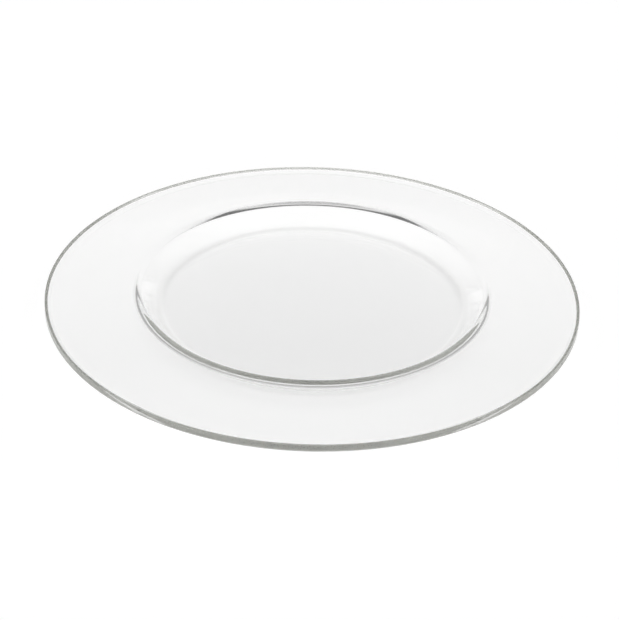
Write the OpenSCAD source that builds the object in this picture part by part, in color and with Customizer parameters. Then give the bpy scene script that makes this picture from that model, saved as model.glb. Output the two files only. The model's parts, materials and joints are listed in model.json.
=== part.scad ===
// Charger plate of clear glass, 330 mm across.
// One piece of glass, level in the floor, turned up in a short sloped side and out again into a wide level rim.
// A low lip stands up along the rim's edge.
// The origin is on the table under the centre of the plate, and +Z is the plate's axis.

/* [Glass] */
// Thickness of the rim and the side
glass_t = 4.6; // [3.6:0.1:6]
// Thickness of the floor
floor_t = 4; // [3:0.1:6]

/* [Rim] */
// Overall diameter
plate_d = 330; // [290:1:380]
// Radius of the rim's lower outer corner
edge_r = 1.6; // [0.8:0.1:2.4]
// Lean of the rim's outer face towards the axis, in degrees from upright
edge_lean = 8; // [0:1:15]

/* [Lip] */
// Height of the lip above the rim's upper face
lip_h = 2.3; // [1.6:0.1:3]
// Slope of the lip's inner face, in degrees from level
lip_angle = 38; // [32:1:46]
// Radius of the lip's crest
crest_r = 0.7; // [0.4:0.1:0.9]
// Radius of the hollow where the rim turns up into the lip
lip_cove_r = 1.6; // [0.8:0.1:2.4]

/* [Well] */
// Diameter of the well where the lines of the rim and the side meet, on the upper face
well_d = 215.4; // [190:0.2:240]
// Depth of the well, from the rim's upper face to the floor's
well_depth = 14.4; // [12:0.2:20]
// Slope of the side, in degrees from level
side_angle = 53; // [44:1:60]

/* [Bends] */
// Radius of the shoulder where the rim turns down into the well, on the upper face
shoulder_r = 4.2; // [1:0.1:6]
// Radius of the hollow where the side meets the floor, on the upper face
cove_r = 7.7; // [2:0.1:10]
// Radius of the hollow under the rim where the side turns out, on the lower face
neck_r = 6.9; // [3:0.1:9]
// Radius of the round foot where the side meets the table, on the lower face
heel_r = 14.8; // [6:0.2:16]

/* [Hidden] */
$fn = 128;
// Degrees of turn for each step along a round stretch of the section
arc_step = 6;
plate_r = plate_d / 2;
well_r = well_d / 2;
rim_top = floor_t + well_depth;
rim_under = rim_top - glass_t;
plate_h = rim_top + lip_h;
// Share of a bend's radius between the corner that it rounds and either of its ends
reach_share = tan(side_angle / 2);
// Radii of the other corners of the well's section, with the side as thick as the rim
floor_corner_r = well_r - well_depth / tan(side_angle);
neck_corner_r = well_r + glass_t * reach_share;
heel_corner_r = neck_corner_r - rim_under / tan(side_angle);
// Centres of the well's four bends
shoulder_c = [well_r + shoulder_r * reach_share, rim_top - shoulder_r];
cove_c = [floor_corner_r - cove_r * reach_share, floor_t + cove_r];
neck_c = [neck_corner_r + neck_r * reach_share, rim_under - neck_r];
heel_c = [heel_corner_r - heel_r * reach_share, heel_r];
// Centre of the edge's lower corner, which reaches out to the overall diameter
edge_c = [plate_r - edge_r, rim_under + edge_r];
// Centre of the crest, which touches the leaning outer face and reaches up to the overall height
crest_z = plate_h - crest_r;
crest_x = edge_c[0] + (edge_r - crest_r) / cos(edge_lean) - (crest_z - edge_c[1]) * tan(edge_lean);
crest_c = [crest_x, crest_z];
// Centre of the hollow at the lip's foot, which touches the rim's upper face and the lip's inner face
lip_cove_z = rim_top + lip_cove_r;
lip_cove_x = crest_x + (lip_cove_z - crest_z) / tan(lip_angle) - (crest_r + lip_cove_r) / sin(lip_angle);
lip_cove_c = [lip_cove_x, lip_cove_z];
glass_colour = [0.86, 0.90, 0.89, 0.45];

// Points along an arc about a centre, from one angle to another
function arc(centre, radius, from, to) =
    let (steps = ceil(abs(to - from) / arc_step))
    [for (i = [0:steps])
        let (angle = from + (to - from) * i / steps)
        centre + radius * [cos(angle), sin(angle)]];

// Half section of the plate, with the axis at x = 0.
// It runs out along the lower face, up the edge, over the lip and back along the upper face.
module plate_section() {
    polygon(concat(
        [[0, 0]],
        arc(heel_c, heel_r, -90, side_angle - 90),
        arc(neck_c, neck_r, side_angle + 90, 90),
        arc(edge_c, edge_r, -90, edge_lean),
        arc(crest_c, crest_r, edge_lean, lip_angle + 90),
        arc(lip_cove_c, lip_cove_r, lip_angle - 90, -90),
        arc(shoulder_c, shoulder_r, 90, side_angle + 90),
        arc(cove_c, cove_r, side_angle - 90, -90),
        [[0, floor_t]]
    ));
}

module glass_plate() {
    color(glass_colour)
        rotate_extrude()
            plate_section();
}

glass_plate();
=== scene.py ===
import json
import math

import bmesh
import bpy
from mathutils import Matrix, Vector


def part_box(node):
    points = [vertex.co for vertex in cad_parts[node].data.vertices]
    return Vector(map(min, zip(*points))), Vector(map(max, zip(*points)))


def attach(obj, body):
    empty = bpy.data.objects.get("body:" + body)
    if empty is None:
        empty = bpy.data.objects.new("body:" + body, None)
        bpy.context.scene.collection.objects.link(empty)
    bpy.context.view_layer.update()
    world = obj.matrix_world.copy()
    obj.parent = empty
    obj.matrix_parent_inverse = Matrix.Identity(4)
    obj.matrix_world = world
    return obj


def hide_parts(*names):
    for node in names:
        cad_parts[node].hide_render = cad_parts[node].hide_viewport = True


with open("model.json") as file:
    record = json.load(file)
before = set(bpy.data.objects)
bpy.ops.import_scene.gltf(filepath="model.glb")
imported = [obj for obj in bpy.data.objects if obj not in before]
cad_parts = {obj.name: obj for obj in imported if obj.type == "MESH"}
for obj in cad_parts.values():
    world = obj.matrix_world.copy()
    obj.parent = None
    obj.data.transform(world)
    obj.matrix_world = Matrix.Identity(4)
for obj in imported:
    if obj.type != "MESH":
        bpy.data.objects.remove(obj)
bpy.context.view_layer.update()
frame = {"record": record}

# Sizes, in metres. What the frame knows is read from it, and the rest repeats the part's own sizes.
NODE = "glass_plate"
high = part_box(NODE)[1]
mount_z = {mount["name"]: mount["pos_m"][2] for mount in frame["record"]["mounts"]}
PLATE_R = high[0]
FLOOR_T = mount_z["well_floor"]
WELL_DEPTH = 0.0144
RIM_TOP = FLOOR_T + WELL_DEPTH
GLASS_T = 0.0046
WELL_R = 0.2154 / 2
SIDE_ANGLE = math.radians(53)
SHOULDER_R = 0.0042
COVE_R = 0.0077
NECK_R = 0.0069
HEEL_R = 0.0148
EDGE_R = 0.0016
EDGE_LEAN = math.radians(8)
CREST_R = 0.0007
LIP_COVE_R = 0.0016
# The edge departs from the part's: it is bent up as a whole, from the rim's underside to the lip's crest
EDGE_RISE = 0.0014
UNDER_R = 0.005
UNDER_ANGLE = math.radians(30)
LIP_H = 0.0018
LIP_ANGLE = math.radians(36)
LIP_TOP = RIM_TOP + LIP_H

# Steps of the turned mesh
TURN_STEPS = 400
ARC_STEP = math.radians(2.4)
# Distance from a bend at which a straight stretch gets a ring, so that it shades flat
HOLD = 0.00015

# Glass. Both patterns are given per metre, and the tint is what its absorption leaves
GLASS_IOR = 1.52
WAVE_SCALE = 24.0
WAVE_DETAIL = 1.0
WAVE_DEPTH = 0.000006
POLISH_SCALE = 140.0
POLISH_DETAIL = 3.0
POLISH_ROUGHNESS = 0.012
GLASS_TINT = (0.873, 0.876, 0.863, 1.0)
GLASS_DENSITY = 16.0

# Camera, fitted to the outline of the rim in the photograph and then moved a little
VIEW_DISTANCE = 0.610
VIEW_ELEVATION = math.radians(32.334)
VIEW_ROLL = math.radians(1.505)
VIEW_TARGET = Vector((-0.0015, -0.03765, RIM_TOP))
LENS = 59.1
SENSOR = 36.0

# Stage
FLOOR_SIZE = 30.0
FLOOR_GAP = 0.0002
PAPER_COLOUR = (0.9, 0.9, 0.9, 1.0)
FLOOR_GLOW = 0.27
# Reach and strength of the painted shade where the plate stands on the paper: less of the floor's glow is
# added there
CONTACT_REACH = 0.012
CONTACT_SHADE = 0.32
LIGHT_BOUNCES = 64
# Brightness of the studio by the sine of the height above the horizon, on the four sides of the plate
HEIGHTS = (0.0, 0.26, 0.46, 0.57, 0.75, 0.985)
FAR_LIGHT = (0.25, 0.42, 0.75, 0.08, 0.12, 1.15)
NEAR_LIGHT = (0.9, 1.0, 1.1, 0.8, 0.8, 1.15)
LEFT_LIGHT = (0.6, 0.6, 0.6, 0.8, 1.15, 1.15)
RIGHT_LIGHT = (0.5, 0.5, 0.52, 0.75, 1.1, 1.15)


def arc(centre, radius, start, end):
    """Points along an arc in the section, from one angle to another."""
    steps = max(2, math.ceil(abs(end - start) / ARC_STEP))
    points = []
    for i in range(steps + 1):
        angle = start + (end - start) * i / steps
        points.append((centre[0] + radius * math.cos(angle), centre[1] + radius * math.sin(angle)))
    return points


def plate_outline():
    """Half section of the plate as (radius, height), out along the lower face and back along the upper."""
    quarter = math.pi / 2
    reach = math.tan(SIDE_ANGLE / 2)
    rim_under = RIM_TOP - GLASS_T
    floor_corner = WELL_R - WELL_DEPTH / math.tan(SIDE_ANGLE)
    neck_corner = WELL_R + GLASS_T * reach
    heel_corner = neck_corner - rim_under / math.tan(SIDE_ANGLE)
    heel_c = (heel_corner - HEEL_R * reach, HEEL_R)
    neck_c = (neck_corner + NECK_R * reach, rim_under - NECK_R)
    edge_c = (PLATE_R - EDGE_R, rim_under + EDGE_RISE + EDGE_R)
    under_z = rim_under + UNDER_R
    under_step = math.cos(UNDER_ANGLE) * (edge_c[1] - under_z) - (EDGE_R - UNDER_R)
    under_c = (edge_c[0] - under_step / math.sin(UNDER_ANGLE), under_z)
    crest_z = LIP_TOP - CREST_R
    face_step = (EDGE_R - CREST_R) / math.cos(EDGE_LEAN)
    crest_c = (edge_c[0] + face_step - (crest_z - edge_c[1]) * math.tan(EDGE_LEAN), crest_z)
    lip_cove_z = RIM_TOP + LIP_COVE_R
    slope_step = (lip_cove_z - crest_z) / math.tan(LIP_ANGLE)
    lip_cove_c = (crest_c[0] + slope_step - (CREST_R + LIP_COVE_R) / math.sin(LIP_ANGLE), lip_cove_z)
    shoulder_c = (WELL_R + SHOULDER_R * reach, RIM_TOP - SHOULDER_R)
    cove_c = (floor_corner - COVE_R * reach, FLOOR_T + COVE_R)
    stretches = [
        [(0.0, 0.0)],
        arc(heel_c, HEEL_R, -quarter, SIDE_ANGLE - quarter),
        arc(neck_c, NECK_R, SIDE_ANGLE + quarter, quarter),
        arc(under_c, UNDER_R, -quarter, UNDER_ANGLE - quarter),
        arc(edge_c, EDGE_R, UNDER_ANGLE - quarter, EDGE_LEAN),
        arc(crest_c, CREST_R, EDGE_LEAN, LIP_ANGLE + quarter),
        arc(lip_cove_c, LIP_COVE_R, LIP_ANGLE - quarter, -quarter),
        arc(shoulder_c, SHOULDER_R, quarter, SIDE_ANGLE + quarter),
        arc(cove_c, COVE_R, SIDE_ANGLE - quarter, -quarter),
        [(0.0, FLOOR_T)],
    ]
    outline = []
    for before, after in zip(stretches, stretches[1:]):
        outline += before
        outline += hold_points(before[-1], after[0])
    return outline + stretches[-1]


def hold_points(start, end):
    """Points close to both ends of a straight stretch, so that the bends' shading stays out of it."""
    share = HOLD / math.dist(start, end)
    points = []
    for at in (share, 1 - share):
        points.append(tuple(a + (b - a) * at for a, b in zip(start, end)))
    return points


def turned_mesh(name, outline):
    """Mesh of an outline turned about +Z. Its first and last points lie on the axis."""
    shape = bmesh.new()
    rings = []
    for radius, height in outline:
        if radius == 0:
            rings.append([shape.verts.new((0, 0, height))])
            continue
        ring = []
        for i in range(TURN_STEPS):
            angle = 2 * math.pi * i / TURN_STEPS
            ring.append(shape.verts.new((radius * math.cos(angle), radius * math.sin(angle), height)))
        rings.append(ring)
    for inner, outer in zip(rings, rings[1:]):
        for i in range(TURN_STEPS):
            j = (i + 1) % TURN_STEPS
            corners = [inner[k % len(inner)] for k in (i, j)] + [outer[k % len(outer)] for k in (j, i)]
            shape.faces.new(list(dict.fromkeys(corners)))
    bmesh.ops.recalc_face_normals(shape, faces=shape.faces)
    for face in shape.faces:
        face.smooth = True
    mesh = bpy.data.meshes.new(name)
    shape.to_mesh(mesh)
    shape.free()
    return mesh


def math_node(tree, operation, first, second):
    """Output of a sum on two numbers, each of them a socket or a constant."""
    node = tree.nodes.new("ShaderNodeMath")
    node.operation = operation
    for socket, value in zip(node.inputs, (first, second)):
        if isinstance(value, (int, float)):
            socket.default_value = value
        else:
            tree.links.new(value, socket)
    return node.outputs[0]


def glass_material():
    """Clear fire-polished glass with a faint waviness, a faintly uneven polish and a trace of absorption."""
    material = bpy.data.materials.new("clear_glass")
    material.use_nodes = True
    tree = material.node_tree
    nodes = tree.nodes
    shader = nodes["Principled BSDF"]
    shader.inputs["Base Color"].default_value = (1.0, 1.0, 1.0, 1.0)
    shader.inputs["Transmission Weight"].default_value = 1.0
    shader.inputs["IOR"].default_value = GLASS_IOR
    coords = nodes.new("ShaderNodeTexCoord")
    waves = nodes.new("ShaderNodeTexNoise")
    waves.inputs["Scale"].default_value = WAVE_SCALE
    waves.inputs["Detail"].default_value = WAVE_DETAIL
    tree.links.new(coords.outputs["Object"], waves.inputs["Vector"])
    bump = nodes.new("ShaderNodeBump")
    bump.inputs["Strength"].default_value = 1.0
    bump.inputs["Distance"].default_value = WAVE_DEPTH
    tree.links.new(waves.outputs["Fac"], bump.inputs["Height"])
    tree.links.new(bump.outputs["Normal"], shader.inputs["Normal"])
    polish = nodes.new("ShaderNodeTexNoise")
    polish.inputs["Scale"].default_value = POLISH_SCALE
    polish.inputs["Detail"].default_value = POLISH_DETAIL
    tree.links.new(coords.outputs["Object"], polish.inputs["Vector"])
    dullness = math_node(tree, "MULTIPLY", polish.outputs["Fac"], POLISH_ROUGHNESS)
    tree.links.new(dullness, shader.inputs["Roughness"])
    inside = nodes.new("ShaderNodeVolumeAbsorption")
    inside.inputs["Color"].default_value = GLASS_TINT
    inside.inputs["Density"].default_value = GLASS_DENSITY
    tree.links.new(inside.outputs["Volume"], nodes["Material Output"].inputs["Volume"])
    return material


def add_plate():
    """The glass, which stands for the part's one solid."""
    mesh = turned_mesh("plate_glass", plate_outline())
    plate = bpy.data.objects.new("plate_glass", mesh)
    bpy.context.scene.collection.objects.link(plate)
    mesh.materials.append(glass_material())
    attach(plate, "root")
    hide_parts(NODE)


def floor_material():
    """White paper. What the studio light leaves short of white is added where it is seen, not as light, and
    less of it where the plate stands close over it, which is painted shade.
    """
    material = bpy.data.materials.new("stage_floor")
    material.use_nodes = True
    tree = material.node_tree
    nodes = tree.nodes
    nodes.remove(nodes["Principled BSDF"])
    paper = nodes.new("ShaderNodeBsdfDiffuse")
    paper.inputs["Color"].default_value = PAPER_COLOUR
    path = nodes.new("ShaderNodeLightPath")
    seen = path.outputs["Is Camera Ray"]
    for name in ("Is Glossy Ray", "Is Transmission Ray"):
        seen = math_node(tree, "MAXIMUM", seen, path.outputs[name])
    # Painted contact shade: the added glow is lowered where the plate stands close over the paper
    contact = nodes.new("ShaderNodeAmbientOcclusion")
    contact.inputs["Distance"].default_value = CONTACT_REACH
    open_share = math_node(tree, "MULTIPLY", contact.outputs["AO"], CONTACT_SHADE)
    open_share = math_node(tree, "ADD", open_share, 1 - CONTACT_SHADE)
    level = math_node(tree, "MULTIPLY", open_share, FLOOR_GLOW)
    glow = nodes.new("ShaderNodeEmission")
    tree.links.new(math_node(tree, "MULTIPLY", seen, level), glow.inputs["Strength"])
    both = nodes.new("ShaderNodeAddShader")
    tree.links.new(paper.outputs[0], both.inputs[0])
    tree.links.new(glow.outputs[0], both.inputs[1])
    tree.links.new(both.outputs[0], nodes["Material Output"].inputs["Surface"])
    return material


def add_floor():
    """Paper floor, a hair below the plate so that the two faces don't coincide."""
    half = FLOOR_SIZE / 2
    mesh = bpy.data.meshes.new("stage_floor")
    turns = ((-1, -1), (1, -1), (1, 1), (-1, 1))
    corners = [(x * half, y * half, -FLOOR_GAP) for x, y in turns]
    mesh.from_pydata(corners, [], [range(len(corners))])
    floor = bpy.data.objects.new("stage_floor", mesh)
    bpy.context.scene.collection.objects.link(floor)
    mesh.materials.append(floor_material())


def light_ramp(tree, height, levels):
    """Grey that goes through the levels as the height rises."""
    ramp = tree.nodes.new("ShaderNodeValToRGB")
    elements = ramp.color_ramp.elements
    while len(elements) < len(levels):
        elements.new(0.5)
    for element, position, level in zip(elements, HEIGHTS, levels):
        element.position = position
        element.color = (level, level, level, 1.0)
    tree.links.new(height, ramp.inputs["Fac"])
    return ramp.outputs["Color"]


def add_world():
    """Soft studio whose brightness changes with the height above the horizon and from side to side."""
    world = bpy.data.worlds.new("studio")
    bpy.context.scene.world = world
    world.use_nodes = True
    tree = world.node_tree
    coords = tree.nodes.new("ShaderNodeTexCoord")
    split = tree.nodes.new("ShaderNodeSeparateXYZ")
    tree.links.new(coords.outputs["Generated"], split.inputs[0])
    level_part = tree.nodes.new("ShaderNodeCombineXYZ")
    tree.links.new(split.outputs["X"], level_part.inputs["X"])
    tree.links.new(split.outputs["Y"], level_part.inputs["Y"])
    heading = tree.nodes.new("ShaderNodeVectorMath")
    heading.operation = "NORMALIZE"
    tree.links.new(level_part.outputs[0], heading.inputs[0])
    turn = tree.nodes.new("ShaderNodeSeparateXYZ")
    tree.links.new(heading.outputs["Vector"], turn.inputs[0])
    sides = (("Y", 1, FAR_LIGHT), ("Y", -1, NEAR_LIGHT), ("X", -1, LEFT_LIGHT), ("X", 1, RIGHT_LIGHT))
    total = 0.0
    for axis, sign, levels in sides:
        towards = math_node(tree, "MULTIPLY", turn.outputs[axis], sign)
        towards = math_node(tree, "MAXIMUM", towards, 0.0)
        weight = math_node(tree, "POWER", towards, 2.0)
        share = math_node(tree, "MULTIPLY", weight, light_ramp(tree, split.outputs["Z"], levels))
        total = math_node(tree, "ADD", total, share)
    tree.links.new(total, tree.nodes["Background"].inputs["Color"])


def add_camera():
    """Camera in front of the plate, looking down at it and turned a little about its own axis."""
    forward = Vector((0, math.cos(VIEW_ELEVATION), -math.sin(VIEW_ELEVATION)))
    level = Vector((1, 0, 0))
    up = level.cross(forward)
    right = level * math.cos(VIEW_ROLL) + up * math.sin(VIEW_ROLL)
    top = up * math.cos(VIEW_ROLL) - level * math.sin(VIEW_ROLL)
    turn = Matrix((right, top, -forward)).transposed().to_4x4()
    data = bpy.data.cameras.new("camera")
    data.lens = LENS
    data.sensor_width = SENSOR
    camera = bpy.data.objects.new("camera", data)
    camera.matrix_world = Matrix.Translation(VIEW_TARGET - forward * VIEW_DISTANCE) @ turn
    bpy.context.scene.collection.objects.link(camera)
    bpy.context.scene.camera = camera


add_plate()
add_floor()
add_world()
add_camera()
bpy.context.scene.view_settings.view_transform = "Standard"
# Light is guided a long way inside the glass, so its paths get room for that
cycles = bpy.context.scene.cycles
cycles.max_bounces = LIGHT_BOUNCES
cycles.glossy_bounces = LIGHT_BOUNCES
cycles.transmission_bounces = LIGHT_BOUNCES
# Light that goes through the glass to the floor isn't blurred
cycles.blur_glossy = 0.0
